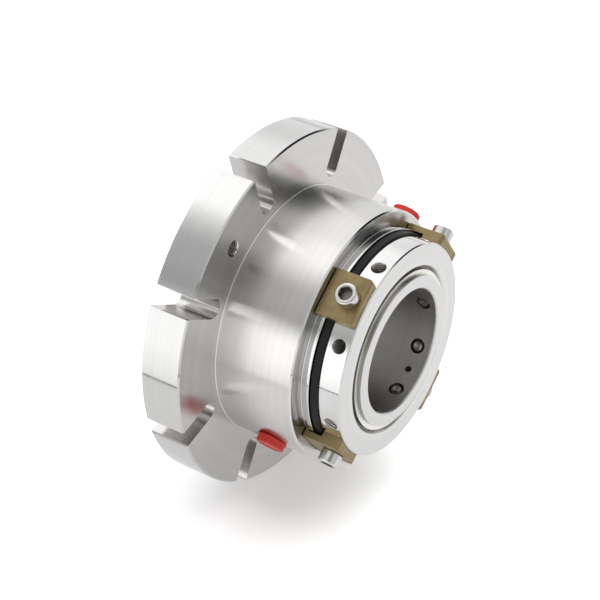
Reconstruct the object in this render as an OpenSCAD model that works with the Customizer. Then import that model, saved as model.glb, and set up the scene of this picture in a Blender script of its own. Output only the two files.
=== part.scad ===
// Double cartridge mechanical seal for a horizontal pump shaft.
// The shaft axis is the X axis, +X points away from the pump, +Z is up.
// The origin lies on the shaft axis, in the plane of the gland's mounting face.
// Angles are measured clockwise from +Z as seen from outside the pump.
// A turned profile is a list of [radius, x] points.

/* [Shaft sleeve] */
// Shaft diameter that the sleeve slides over
shaft_d = 50; // [46:0.5:54]
// Wall of the sleeve tube
sleeve_wall = 5.3; // [4.8:0.1:6]
// How far the sleeve stands out of the collar
sleeve_stand = 1.5; // [0.8:0.1:3]
// How far the sleeve head reaches into the pump from the mounting face
sleeve_reach = 14; // [13:0.5:18]
// Cross-section of the O-ring that seals the sleeve on the shaft
sleeve_ring_d = 2.5; // [2:0.1:3]
// Diameter of the small locating hole beside the grub screws
sleeve_pin_hole_d = 2.6; // [1.5:0.1:3]

/* [Gland] */
// Thickness of the bolting flange
flange_t = 17.2; // [15:0.2:20]
// Radial width of the flange outside the body
flange_w = 22.6; // [20:0.2:28]
// Edge break of the flange rim
flange_chamfer = 0.6; // [0.2:0.1:1.2]
// Length of the gland body in front of the flange
body_l = 33.5; // [31.5:0.5:40]
// Wall of the gland body around the chamber
body_wall = 8.4; // [7.5:0.2:10]
// Edge break of the body's outer end
body_chamfer = 0.6; // [0.2:0.1:1.2]
// Fillet between the body and the flange
root_fillet = 0.8; // [0.3:0.1:1.5]
// Wall of the boss at the bottom of the clip groove
boss_wall = 1.4; // [1.2:0.1:2]
// Width of the clip groove behind the end ring
groove_w = 2; // [1.8:0.1:3]

/* [Flange slots and jacking holes] */
// Number of bolt slots
slot_count = 8; // [4:1:10]
// Width of a bolt slot
slot_w = 7.8; // [6:0.2:10]
// Metal left between the body and the end of a slot
slot_land = 3.4; // [2.5:0.1:6]
// Edge break where a slot opens at the rim
slot_flare = 0.4; // [0.2:0.1:0.8]
// Angle of the first slot from the vertical
gland_turn = 29.6; // [0:0.1:44]
// Core diameter of the jacking screw thread
jack_d = 5; // [4:0.2:6]
// Countersink diameter at the mouth of a jacking hole
jack_mouth_d = 6.6; // [6.2:0.2:8]
// Distance of the jacking holes from the flange rim
jack_inset = 12.5; // [9:0.5:15]

/* [Ports] */
// Diameter of the threaded barrier fluid ports
port_d = 10; // [8:0.5:10.5]
// Distance of the upper port from the end of the gland body
port_inset = 7.5; // [7.2:0.1:10]
// How much further from that end the lower port lies
port_shift = 7.2; // [0:0.2:8]
// Angle of the upper port from the first slot
port_angle = 24; // [0:1:44]
// Diameter of a plug cap
plug_cap_d = 12; // [11.5:0.1:13]
// Height of a plug cap above its flange
plug_cap_h = 2.2; // [1.6:0.1:5]
// Thickness of the thin flange under a plug cap
plug_flange_t = 0.9; // [0.6:0.1:1.5]
// Length of the plug stem inside the port
plug_stem = 6; // [4:0.5:6.5]
// Number of flutes round a plug cap
plug_flutes = 16; // [8:1:20]

/* [Seal faces] */
// Cross-section of the O-rings behind and around the faces
face_ring_d = 1.9; // [1.6:0.1:2.1]
// Radial width of a rotary face
rotary_w = 6.2; // [5.8:0.1:6.6]
// Length of a rotary face
rotary_l = 7; // [6:0.5:8]
// Depth of the pocket that holds a rotary face
pocket_depth = 4; // [3:0.5:5]
// How far the inboard sealing plane lies inside the pump
plane_reach = 1; // [0.5:0.1:2]
// Length of the front part of a stationary face
seat_front = 7; // [6:0.5:8]
// Length of the rear part of a stationary face
seat_rear = 5; // [4.5:0.5:6]
// Travel of a stationary face against its springs
face_travel = 1.5; // [0.5:0.1:1.6]
// Number of springs behind each stationary face
spring_count = 6; // [4:1:8]
// Outside diameter of a face spring
spring_d = 2.4; // [2:0.1:2.5]
// Wire diameter of a face spring
wire_d = 0.5; // [0.3:0.05:0.6]
// Diameter of the anti-rotation and drive pins
pin_d = 2.4; // [1.8:0.1:2.5]

/* [Pumping ring] */
// Gap between the pumping ring and the chamber wall
pump_gap = 2; // [1:0.1:3]
// Number of slanted vanes
vane_count = 16; // [8:1:20]
// Depth of the channels between the vanes
vane_depth = 3; // [2:0.5:4]
// Slant of the channels
vane_slant = 30; // [0:5:35]
// Number of grub screws that hold the pumping ring
pump_screw_count = 3; // [2:1:4]
// Diameter of these screws
pump_screw_d = 3; // [2.5:0.1:3.5]

/* [Drive collar] */
// Radial wall of the collar
collar_wall = 12.4; // [11:0.2:13]
// Width of the collar along the shaft
collar_w = 9.2; // [9:0.2:12]
// Edge break of the collar's outer face
collar_chamfer = 0.5; // [0.2:0.1:1]
// Angle of the first grub screw from the vertical
rotor_turn = 31; // [0:0.1:44]
// Number of grub screws
grub_count = 8; // [4:4:8]
// Diameter of the grub screws
grub_d = 5.8; // [5:0.1:6]
// Length of a grub screw
grub_l = 12; // [8:1:12]
// Distance of the grub screws from the collar's outer face
grub_inset = 4.5; // [4:0.1:5]
// Hexagon key size of the grub screws
grub_key = 3; // [2:0.5:3]

/* [Snap ring] */
// Radial width of the snap ring that shows
snap_w = 2.8; // [2:0.1:3]
// Thickness of the snap ring
snap_t = 1.2; // [0.8:0.1:2]
// Depth of its groove in the sleeve
snap_groove = 1; // [0.6:0.1:1.4]
// Angle that the gap of the snap ring takes up
snap_gap = 12; // [6:1:20]
// Angle of the gap's middle from the first grub screw
snap_turn = 51; // [0:1:359]

/* [Excluder ring] */
// How far the rubber ring stands above the collar
excluder_stand = 0.9; // [0.5:0.1:1.3]
// Width of the rubber ring
excluder_w = 3; // [2.5:0.1:4]
// Height of the collar hub that carries it, above the sleeve
hub_h = 5.6; // [4:0.2:7]

/* [End ring] */
// How far the end ring stands above the clip groove
rim_h = 0.9; // [0.6:0.1:1.5]
// Width of the end ring outside the gland
rim_w = 1.9; // [1.6:0.1:3]

/* [Setting clips] */
// Width of a clip across the shaft
clip_w = 18.6; // [16:0.2:22]
// Metal of the clip above the end ring
clip_cover = 1.9; // [1.5:0.1:3]
// How far a clip stays behind the collar's outer face
clip_setback = 0.6; // [0:0.1:1.5]
// Corner break of a clip
clip_chamfer = 0.7; // [0.3:0.1:1.2]
// Diameter of the clip screws
clip_screw_d = 4.9; // [4:0.1:5]
// Head diameter of the clip screws
clip_head_d = 8.5; // [7.5:0.1:9]
// Head height of the clip screws
clip_head_h = 5; // [4:0.1:6]
// Hexagon key size of the clip screws
clip_key = 4; // [3:0.5:4.5]
// How deep a clip screw goes into the collar
clip_screw_depth = 7; // [5:0.5:9]
// Distance of the clip screws from the collar's outer face
clip_screw_inset = 6; // [5.5:0.1:6.5]

/* [Gasket] */
// Radial width of the gland gasket
gasket_w = 5.5; // [4:0.1:6]
// Thickness of the gland gasket
gasket_t = 1.2; // [0.8:0.1:2]

/* [Hidden] */
$fn = 96;
tiny = 0.01;
cut = 1;

// Clearances
seat_gap = 0.03;
slide_gap = 0.08;
thread_gap = 0.05;
pin_gap = 0.1;
run_gap = 0.3;
lift_gap = 0.2;

// Radii from the shaft outwards
shaft_r = shaft_d / 2;
sleeve_r = shaft_r + sleeve_wall;
face_r = sleeve_r + face_ring_d;
rotary_r = face_r + rotary_w;
pocket_r = rotary_r + run_gap;
head_r = pocket_r + 2.3;
chamber_r = head_r + 1;
seat_r = chamber_r - 0.8;
groove_r = chamber_r + boss_wall;
rim_r = groove_r + rim_h;
body_r = chamber_r + body_wall;
flange_r = body_r + flange_w;
collar_r = sleeve_r + collar_wall;
excluder_r = collar_r + excluder_stand;
hub_r = sleeve_r + hub_h;
slot_end_r = body_r + slot_land;
jack_r = flange_r - jack_inset;
gasket_r = chamber_r + 1.2;
jack_places = [floor(slot_count / 4), floor(slot_count / 4) + floor(slot_count / 2)];

// Stations along the shaft, from the mounting face outwards
body_end = flange_t + body_l;
rim_x = body_end + groove_w;
rim_end = rim_x + rim_w;
excluder_x = rim_end + run_gap;
collar_x = excluder_x + excluder_w;
collar_end = collar_x + collar_w;
sleeve_end = collar_end + sleeve_stand;
sleeve_start = -sleeve_reach;
grub_x = collar_end - grub_inset;
clip_screw_x = collar_end - clip_screw_inset;
upper_port_x = body_end - port_inset;
lower_port_x = upper_port_x - port_shift;
upper_port_turn = gland_turn + port_angle;
lower_port_turn = upper_port_turn + 180;

// Inboard faces
in_plane = -plane_reach;
in_pocket_x = in_plane - rotary_l;
head_x = in_pocket_x + pocket_depth;
in_front_x = in_plane + seat_front;
in_rear_x = in_front_x + seat_rear;
in_shoulder_x = in_front_x + face_travel;
web_x = in_rear_x + face_travel + 0.5;
web_t = 3;

// Outboard faces
hub_back_x = rim_x - 6.2;
hub_step_x = rim_x - 1;
hub_bore_r = hub_r + 2;
out_front_x = hub_back_x - face_travel - 1;
out_plane = out_front_x - seat_front;
out_rear_x = out_front_x + seat_rear;
out_pocket_x = out_plane - rotary_l;
pump_end = out_pocket_x + pocket_depth;
pump_start = web_x + web_t + 2;
vane_end = out_pocket_x - 3;
vane_l = vane_end - pump_start;
pump_r = chamber_r - pump_gap;
pump_screw_x = (pump_start + vane_end) / 2;
pump_screw_turn = 60;
pump_screw_top = pump_r - vane_depth - 0.5;
pump_screw_bite = 1.5;

// Springs, pins and the necks that the dynamic O-rings ride on
neck_r = face_r + 2.4;
in_bore_r = neck_r + face_ring_d;
in_flange_r = in_bore_r + spring_d + 1.1;
in_spring_r = in_bore_r + 0.5 + spring_d / 2;
out_neck_r = neck_r + 1.1;
out_bore_r = out_neck_r + face_ring_d;
out_spring_r = out_bore_r + 0.5 + spring_d / 2;
pocket_gap = 0.2;
spring_pocket = 4.2;
in_spring_end = in_shoulder_x + spring_pocket;
out_spring_end = hub_back_x + spring_pocket;
drive_pin_r = face_r + rotary_w / 2;
drive_pin_d = pin_d - 0.4;
pin_hole_d = pin_d + 2 * seat_gap;
pin_slot_d = pin_d + 2 * pin_gap;
drive_hole_d = drive_pin_d + 2 * seat_gap;
pin_bite = 2.5;

// Four clips, each a node of its own
clip_count = 4;
clip_relief_r = max(rim_r, excluder_r) + run_gap;
clip_top = clip_relief_r - run_gap + clip_cover;
clip_gap = 0.3;
clip_x = body_end + clip_gap;
clip_end = collar_end - clip_setback;
clip_lip_w = groove_w - clip_gap - 0.2;
clip_seat_r = collar_r + seat_gap;
clip_screw_r = collar_r - clip_screw_depth;

// Moves what is modelled upright at the top of the shaft to an angle round it
module round_shaft(angle) {
    rotate([-angle, 0, 0]) children();
}

// Turns a profile of [radius, x] points about the shaft axis
module turned(points) {
    rotate([0, 90, 0]) rotate_extrude() polygon(points);
}

// Plain ring between two radii and two stations
module ring(inner, outer, x0, x1) {
    turned([[inner, x0], [outer, x0], [outer, x1], [inner, x1]]);
}

// O-ring on the shaft axis
module o_ring(mean_r, section_d, x) {
    translate([x, 0, 0])
        rotate([0, 90, 0])
            rotate_extrude()
                translate([mean_r, 0])
                    circle(d = section_d, $fn = 24);
}

// Radial cylinder at the top of the shaft
module radial_rod(x, r0, r1, d) {
    translate([x, 0, r0]) cylinder(d = d, h = r1 - r0, $fn = 48);
}

// Axial cylinder at the top of the shaft
module axial_rod(x0, x1, r, d) {
    translate([x0, 0, r]) rotate([0, 90, 0]) cylinder(d = d, h = x1 - x0, $fn = 32);
}

// Hexagon socket cut radially down from a top height
module hex_socket(x, top_r, depth, key) {
    translate([x, 0, top_r - depth])
        rotate([0, 0, 30])
            cylinder(d = key / cos(30), h = depth + cut, $fn = 6);
}

// Copies children evenly round the shaft, the first one at start
module around(count, start = 0) {
    for (i = [0 : count - 1])
        round_shaft(start + i * 360 / count) children();
}

// Point on a coil of mean radius r that climbs length in the given turns
function coil_point(r, length, turns, step, steps) =
    let (a = 360 * turns * step / steps)
    [r * cos(a), r * sin(a), length * step / steps];

// Ring of points round the wire where it passes one point of the coil
function wire_ring(p, a, wire_r, sides) =
    [for (k = [0 : sides - 1])
        let (b = 360 * k / sides)
        [p[0] + wire_r * cos(b) * cos(a), p[1] + wire_r * cos(b) * sin(a), p[2] + wire_r * sin(b)]];

// Helical compression spring that stands on the local Z axis
module coil_spring(outer_d, wire, length, turns) {
    steps = turns * 8;
    sides = 5;
    r = (outer_d - wire) / 2;
    rings = [for (i = [0 : steps])
        wire_ring(coil_point(r, length - wire, turns, i, steps), 360 * turns * i / steps, wire / 2, sides)];
    points = [for (ring_points = rings) for (p = ring_points) p];
    first_halves = [for (i = [0 : steps - 1]) for (k = [0 : sides - 1])
        [i * sides + k, i * sides + (k + 1) % sides, (i + 1) * sides + (k + 1) % sides]];
    second_halves = [for (i = [0 : steps - 1]) for (k = [0 : sides - 1])
        [i * sides + k, (i + 1) * sides + (k + 1) % sides, (i + 1) * sides + k]];
    first_cap = [[for (k = [0 : sides - 1]) sides - 1 - k]];
    last_cap = [[for (k = [0 : sides - 1]) steps * sides + k]];
    translate([0, 0, wire / 2])
        polyhedron(points = points, faces = concat(first_halves, second_halves, first_cap, last_cap));
}

// Springs stand between the pins, so the first is half a pitch off the vertical
module spring_set(x0, x1, r) {
    around(spring_count, 180 / spring_count)
        translate([x0, 0, r])
            rotate([0, 90, 0])
                coil_spring(spring_d, wire_d, x1 - x0, 6);
}

module spring_pockets(x0, x1, r) {
    around(spring_count, 180 / spring_count)
        axial_rod(x0, x1, r, spring_d + pocket_gap);
}

module slot_outline() {
    end_r = slot_w / 2;
    translate([0, slot_end_r + end_r]) circle(d = slot_w);
    translate([-end_r, slot_end_r + end_r]) square([slot_w, flange_r - slot_end_r]);
    polygon([[-end_r, flange_r - slot_flare * 2], [end_r, flange_r - slot_flare * 2],
        [end_r + slot_flare * 3, flange_r + slot_flare * 4], [-end_r - slot_flare * 3, flange_r + slot_flare * 4]]);
}

module bolt_slots() {
    around(slot_count, gland_turn)
        translate([-cut, 0, 0])
            rotate([90, 0, 90])
                linear_extrude(flange_t + 2 * cut)
                    slot_outline();
}

// Each jacking hole stands midway between two slots, the two on opposite sides
module jack_hole() {
    mouth = (jack_mouth_d - jack_d) / 2;
    axial_rod(-cut, flange_t + cut, jack_r, jack_d);
    translate([flange_t - mouth, 0, jack_r])
        rotate([0, 90, 0])
            cylinder(d1 = jack_d, d2 = jack_mouth_d + 2 * tiny, h = mouth + tiny, $fn = 32);
}

module gland_blank() {
    turned([
        [in_flange_r, 0],
        [gasket_r, 0], [gasket_r, gasket_t + seat_gap],
        [gasket_r + gasket_w, gasket_t + seat_gap], [gasket_r + gasket_w, 0],
        [flange_r - flange_chamfer, 0], [flange_r, flange_chamfer],
        [flange_r, flange_t - flange_chamfer], [flange_r - flange_chamfer, flange_t],
        [body_r + root_fillet, flange_t], [body_r, flange_t + root_fillet],
        [body_r, body_end - body_chamfer], [body_r - body_chamfer, body_end],
        [groove_r, body_end], [groove_r, rim_x],
        [chamber_r, rim_x], [chamber_r, web_x + web_t],
        [face_r + 1.2, web_x + web_t], [face_r + 1.2, web_x],
        [in_bore_r, web_x], [in_bore_r, in_shoulder_x],
        [in_flange_r, in_shoulder_x]]);
}

module gland() {
    color([0.78, 0.78, 0.77])
        difference() {
            gland_blank();
            bolt_slots();
            for (k = jack_places)
                round_shaft(gland_turn + (k + 0.5) * 360 / slot_count)
                    jack_hole();
            round_shaft(upper_port_turn)
                radial_rod(upper_port_x, chamber_r - cut, body_r + cut, port_d);
            round_shaft(lower_port_turn)
                radial_rod(lower_port_x, chamber_r - cut, body_r + cut, port_d);
            spring_pockets(in_shoulder_x - tiny, in_spring_end, in_spring_r);
            around(2)
                axial_rod(in_shoulder_x - tiny, in_shoulder_x + pin_bite + 1, in_spring_r, pin_hole_d);
        }
}

// Rim behind which the clips hook, with the hub that backs the outboard springs
module gland_end_ring() {
    color([0.74, 0.74, 0.73])
        difference() {
            turned([
                [hub_bore_r, rim_end], [hub_bore_r, hub_step_x],
                [out_bore_r, hub_step_x], [out_bore_r, hub_back_x],
                [chamber_r - seat_gap, hub_back_x], [chamber_r - seat_gap, rim_x],
                [rim_r, rim_x], [rim_r, rim_end - 0.3], [rim_r - 0.3, rim_end]]);
            spring_pockets(hub_back_x - tiny, out_spring_end, out_spring_r);
            around(2)
                axial_rod(hub_back_x - tiny, hub_back_x + pin_bite + 1, out_spring_r, pin_hole_d);
        }
}

module gland_gasket() {
    color([0.25, 0.25, 0.27])
        ring(gasket_r + seat_gap, gasket_r + gasket_w - seat_gap, 0, gasket_t);
}

module inboard_stationary_face() {
    color([0.2, 0.2, 0.21])
        difference() {
            turned([
                [face_r, in_plane], [rotary_r - 0.6, in_plane], [rotary_r - 0.6, in_plane + 1.5],
                [in_flange_r - pin_gap - 0.2, in_plane + 1.5], [in_flange_r - pin_gap - 0.2, in_front_x],
                [neck_r, in_front_x], [neck_r, in_rear_x], [face_r, in_rear_x]]);
            around(2)
                axial_rod(in_front_x - pin_bite - face_travel, in_front_x + tiny, in_spring_r, pin_slot_d);
        }
}

module inboard_seat_o_ring() {
    color([0.07, 0.07, 0.07])
        o_ring((neck_r + in_bore_r) / 2, face_ring_d - 2 * seat_gap, in_shoulder_x + face_ring_d);
}

module inboard_springs() {
    color([0.66, 0.66, 0.68])
        spring_set(in_front_x + tiny, in_spring_end - tiny, in_spring_r);
}

module inboard_anti_rotation_pins() {
    color([0.72, 0.72, 0.74])
        around(2)
            axial_rod(in_front_x - pin_bite, in_shoulder_x + pin_bite + 1, in_spring_r, pin_d);
}

module outboard_stationary_face() {
    color([0.2, 0.2, 0.21])
        difference() {
            turned([
                [face_r, out_plane], [rotary_r - 0.6, out_plane], [rotary_r - 0.6, out_plane + 1.5],
                [seat_r, out_plane + 1.5], [seat_r, out_front_x],
                [out_neck_r, out_front_x], [out_neck_r, out_rear_x], [face_r, out_rear_x]]);
            around(2)
                axial_rod(out_front_x - pin_bite - face_travel, out_front_x + tiny, out_spring_r, pin_slot_d);
        }
}

module outboard_seat_o_ring() {
    color([0.07, 0.07, 0.07])
        o_ring((out_neck_r + out_bore_r) / 2, face_ring_d - 2 * seat_gap, hub_back_x + face_ring_d / 2);
}

module outboard_springs() {
    color([0.66, 0.66, 0.68])
        spring_set(out_front_x + tiny, out_spring_end - tiny, out_spring_r);
}

module outboard_anti_rotation_pins() {
    color([0.72, 0.72, 0.74])
        around(2)
            axial_rod(out_front_x - pin_bite, hub_back_x + pin_bite + 1, out_spring_r, pin_d);
}

// Port plug with a fluted cap, at the top of the shaft
module port_plug(x) {
    seat_r0 = body_r + seat_gap;
    cap_r0 = seat_r0 + plug_flange_t;
    edge = 0.5;
    color([0.82, 0.12, 0.08])
        difference() {
            union() {
                radial_rod(x, seat_r0 - plug_stem, seat_r0 + tiny, port_d - 2 * thread_gap);
                radial_rod(x, seat_r0, cap_r0, plug_cap_d);
                translate([x, 0, cap_r0 - tiny])
                    cylinder(d = plug_cap_d - 0.6, h = plug_cap_h - edge + tiny, $fn = 64);
                translate([x, 0, cap_r0 + plug_cap_h - edge])
                    cylinder(d1 = plug_cap_d - 0.6, d2 = plug_cap_d - 0.6 - 2 * edge, h = edge, $fn = 64);
            }
            for (i = [0 : plug_flutes - 1])
                translate([x, 0, cap_r0])
                    rotate([0, 0, i * 360 / plug_flutes])
                        translate([plug_cap_d / 2 + 0.25, 0, 0])
                            cylinder(d = 1.4, h = plug_cap_h + cut, $fn = 16);
        }
}

module port_plug_upper() {
    round_shaft(upper_port_turn) port_plug(upper_port_x);
}

module port_plug_lower() {
    round_shaft(lower_port_turn) port_plug(lower_port_x);
}

module shaft_sleeve() {
    ring_x = sleeve_start + 4;
    ring_groove = sleeve_ring_d * 1.3;
    color([0.72, 0.72, 0.72])
        difference() {
            turned([
                [shaft_r + 0.6, sleeve_start], [head_r - 0.8, sleeve_start], [head_r, sleeve_start + 0.8],
                [head_r, head_x], [pocket_r, head_x], [pocket_r, in_pocket_x],
                [sleeve_r, in_pocket_x], [sleeve_r, collar_end - snap_t - slide_gap],
                [sleeve_r - snap_groove, collar_end - snap_t - slide_gap],
                [sleeve_r - snap_groove, collar_end], [sleeve_r, collar_end],
                [sleeve_r, sleeve_end - 0.4], [sleeve_r - 0.4, sleeve_end],
                [shaft_r + 0.5, sleeve_end], [shaft_r, sleeve_end - 0.5],
                [shaft_r, ring_x + ring_groove / 2], [shaft_r + sleeve_ring_d, ring_x + ring_groove / 2],
                [shaft_r + sleeve_ring_d, ring_x - ring_groove / 2], [shaft_r, ring_x - ring_groove / 2],
                [shaft_r, sleeve_start + 0.6]]);
            around(grub_count, rotor_turn)
                radial_rod(grub_x, shaft_r - cut, sleeve_r + cut, grub_d + 2 * pin_gap);
            round_shaft(rotor_turn + 112.5)
                radial_rod(grub_x, shaft_r - cut, sleeve_r + cut, sleeve_pin_hole_d);
            around(2)
                axial_rod(in_pocket_x - pin_bite, in_pocket_x + cut, drive_pin_r, drive_hole_d);
            around(pump_screw_count, pump_screw_turn)
                radial_rod(pump_screw_x, sleeve_r - pump_screw_bite, sleeve_r + cut, pump_screw_d);
        }
}

module sleeve_o_ring() {
    color([0.07, 0.07, 0.07])
        o_ring(shaft_r + sleeve_ring_d / 2 + seat_gap, sleeve_ring_d - 4 * seat_gap, sleeve_start + 4);
}

// Rotary face with its front at plane_x, notched behind for the drive pins
module rotary_face(plane_x) {
    back_x = plane_x - rotary_l;
    difference() {
        turned([
            [face_r, back_x + seat_gap], [rotary_r, back_x + seat_gap],
            [rotary_r, plane_x - 1.2], [rotary_r - 1.2, plane_x], [face_r + 0.4, plane_x],
            [face_r, plane_x - 0.4]]);
        around(2)
            translate([back_x - cut, -drive_pin_d / 2 - pin_gap, drive_pin_r - drive_pin_d / 2 - pin_gap])
                cube([pin_bite + cut, drive_pin_d + 2 * pin_gap, drive_pin_d + 2 * pin_gap]);
    }
}

module inboard_rotary_face() {
    color([0.33, 0.34, 0.36]) rotary_face(in_plane);
}

module inboard_rotary_o_ring() {
    color([0.07, 0.07, 0.07])
        o_ring(sleeve_r + face_ring_d / 2, face_ring_d - 2 * seat_gap, in_pocket_x + rotary_l / 2);
}

module inboard_drive_pins() {
    color([0.72, 0.72, 0.74])
        around(2)
            axial_rod(in_pocket_x - pin_bite + seat_gap, in_pocket_x + pin_bite - 0.3, drive_pin_r, drive_pin_d);
}

module pumping_ring() {
    channel = 360 / vane_count / 2;
    color([0.7, 0.7, 0.71])
        difference() {
            turned([
                [sleeve_r + seat_gap, pump_start], [pump_r, pump_start], [pump_r, vane_end],
                [head_r - 1, vane_end + 1], [head_r - 1, pump_end], [pocket_r, pump_end],
                [pocket_r, out_pocket_x], [sleeve_r + seat_gap, out_pocket_x]]);
            around(vane_count, channel)
                translate([pump_start + vane_l / 2, 0, pump_r - vane_depth])
                    rotate([0, 0, vane_slant])
                        translate([-vane_l, -2.2, 0])
                            cube([vane_l * 2 - 2.5, 4.4, vane_depth + cut]);
            around(2)
                axial_rod(out_pocket_x - pin_bite, out_pocket_x + cut, drive_pin_r, drive_hole_d);
            around(pump_screw_count, pump_screw_turn)
                radial_rod(pump_screw_x, sleeve_r - cut, pump_r + cut, pump_screw_d);
        }
}

module pumping_ring_screws() {
    tip_r = sleeve_r - pump_screw_bite + seat_gap;
    color([0.4, 0.4, 0.42])
        around(pump_screw_count, pump_screw_turn)
            difference() {
                radial_rod(pump_screw_x, tip_r, pump_screw_top, pump_screw_d - 2 * thread_gap);
                hex_socket(pump_screw_x, pump_screw_top, pump_screw_d / 2, pump_screw_d / 2);
            }
}

module outboard_rotary_face() {
    color([0.33, 0.34, 0.36]) rotary_face(out_plane);
}

module outboard_rotary_o_ring() {
    color([0.07, 0.07, 0.07])
        o_ring(sleeve_r + face_ring_d / 2, face_ring_d - 2 * seat_gap, out_pocket_x + rotary_l / 2);
}

module outboard_drive_pins() {
    color([0.72, 0.72, 0.74])
        around(2)
            axial_rod(out_pocket_x - pin_bite + seat_gap, out_pocket_x + pin_bite - 0.3, drive_pin_r, drive_pin_d);
}

// Clip screws stand midway between two grub screws
module around_clips() {
    around(clip_count, rotor_turn + 22.5) children();
}

module drive_collar() {
    recess_r = sleeve_r + snap_w + pin_gap;
    recess_x = collar_end - snap_t - slide_gap;
    color([0.82, 0.82, 0.82])
        difference() {
            turned([
                [sleeve_r + slide_gap, excluder_x + 0.3], [hub_r, excluder_x + 0.3], [hub_r, collar_x],
                [collar_r - 0.2, collar_x], [collar_r, collar_x + 0.2],
                [collar_r, collar_end - collar_chamfer], [collar_r - collar_chamfer, collar_end],
                [recess_r, collar_end], [recess_r, recess_x], [sleeve_r + slide_gap, recess_x]]);
            around(grub_count, rotor_turn)
                radial_rod(grub_x, sleeve_r - cut, collar_r + cut, grub_d + 2 * thread_gap);
            around_clips()
                radial_rod(clip_screw_x, clip_screw_r - 1, collar_r + cut, clip_screw_d + 2 * thread_gap);
        }
}

module excluder_ring() {
    color([0.13, 0.13, 0.13])
        turned([
            [hub_r + seat_gap, excluder_x], [excluder_r - 0.25, excluder_x], [excluder_r, excluder_x + 0.25],
            [excluder_r, collar_x - 0.25], [excluder_r - 0.25, collar_x], [hub_r + seat_gap, collar_x]]);
}

module snap_ring() {
    color([0.85, 0.85, 0.84])
        round_shaft(rotor_turn + snap_turn - snap_gap / 2)
            translate([collar_end - snap_t - slide_gap / 2, 0, 0])
                rotate([0, 90, 0])
                    rotate([0, 0, 180])
                        rotate_extrude(angle = 360 - snap_gap)
                            translate([sleeve_r - snap_groove + slide_gap, 0])
                                square([snap_groove + snap_w - slide_gap, snap_t]);
}

module grub_screw() {
    tip_r = shaft_r + pin_gap + 0.1;
    tip_h = 1.2;
    difference() {
        union() {
            radial_rod(grub_x, tip_r + tip_h, tip_r + grub_l, grub_d);
            translate([grub_x, 0, tip_r])
                cylinder(d1 = grub_d - 1.8, d2 = grub_d, h = tip_h + tiny, $fn = 48);
        }
        hex_socket(grub_x, tip_r + grub_l, 4, grub_key);
        translate([grub_x, 0, tip_r - tiny])
            cylinder(d1 = grub_d - 2.8, d2 = 0.6, h = 0.9, $fn = 32);
    }
}

module grub_screws() {
    color([0.5, 0.5, 0.51])
        around(grub_count, rotor_turn)
            grub_screw();
}

// Brass setting clip at the top of the shaft: seat on the collar, lip in the gland's groove
module setting_clip() {
    foot = clip_seat_r - 3;
    difference() {
        translate([clip_x, -clip_w / 2, foot])
            cube([clip_end - clip_x, clip_w, clip_top - foot]);
        ring(0, clip_seat_r, collar_x - cut, collar_end + cut);
        ring(0, clip_relief_r, clip_x + clip_lip_w, collar_x + run_gap);
        ring(0, groove_r + lift_gap, clip_x - cut, clip_x + clip_lip_w + cut);
        for (side = [-1, 1])
            translate([clip_end, side * clip_w / 2, foot - cut])
                rotate([0, 0, 45])
                    translate([-clip_chamfer, -clip_chamfer, 0])
                        cube([2 * clip_chamfer, 2 * clip_chamfer, clip_top]);
        translate([clip_end, 0, clip_top])
            rotate([0, 45, 0])
                cube([clip_chamfer, clip_w + cut, clip_chamfer], center = true);
        radial_rod(clip_screw_x, foot - cut, clip_top + cut, clip_screw_d + 2 * pin_gap);
    }
}

module place_clip(number) {
    round_shaft(rotor_turn + 22.5 + (number - 1) * 360 / clip_count) children();
}

module setting_clip_1() {
    color([0.66, 0.54, 0.3]) place_clip(1) setting_clip();
}

module setting_clip_2() {
    color([0.66, 0.54, 0.3]) place_clip(2) setting_clip();
}

module setting_clip_3() {
    color([0.66, 0.54, 0.3]) place_clip(3) setting_clip();
}

module setting_clip_4() {
    color([0.66, 0.54, 0.3]) place_clip(4) setting_clip();
}

// Socket cap screw with its head on the flat top of a clip
module clip_screw() {
    head_r0 = clip_top + tiny;
    head_top = head_r0 + clip_head_h;
    edge = 0.4;
    difference() {
        union() {
            radial_rod(clip_screw_x, clip_screw_r, head_r0 + tiny, clip_screw_d);
            radial_rod(clip_screw_x, head_r0, head_top - edge, clip_head_d);
            translate([clip_screw_x, 0, head_top - edge - tiny])
                cylinder(d1 = clip_head_d, d2 = clip_head_d - 2 * edge, h = edge + tiny, $fn = 48);
        }
        hex_socket(clip_screw_x, head_top, clip_head_h / 2, clip_key);
    }
}

module clip_screw_1() {
    color([0.8, 0.8, 0.8]) place_clip(1) clip_screw();
}

module clip_screw_2() {
    color([0.8, 0.8, 0.8]) place_clip(2) clip_screw();
}

module clip_screw_3() {
    color([0.8, 0.8, 0.8]) place_clip(3) clip_screw();
}

module clip_screw_4() {
    color([0.8, 0.8, 0.8]) place_clip(4) clip_screw();
}

gland();
gland_end_ring();
gland_gasket();
inboard_stationary_face();
inboard_seat_o_ring();
inboard_springs();
inboard_anti_rotation_pins();
outboard_stationary_face();
outboard_seat_o_ring();
outboard_springs();
outboard_anti_rotation_pins();
port_plug_upper();
port_plug_lower();
shaft_sleeve();
sleeve_o_ring();
inboard_rotary_face();
inboard_rotary_o_ring();
inboard_drive_pins();
pumping_ring();
pumping_ring_screws();
outboard_rotary_face();
outboard_rotary_o_ring();
outboard_drive_pins();
drive_collar();
excluder_ring();
snap_ring();
grub_screws();
setting_clip_1();
setting_clip_2();
setting_clip_3();
setting_clip_4();
clip_screw_1();
clip_screw_2();
clip_screw_3();
clip_screw_4();
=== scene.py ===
"""Looks of a double cartridge mechanical seal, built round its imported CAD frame.

The shaft axis is X, the outside of the pump is +X and Z is up. Sizes below are in millimetres and
follow the CAD source; everything in the scene is in metres.
"""

import math

import bmesh
import bpy
from mathutils import Matrix, Vector


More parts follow.
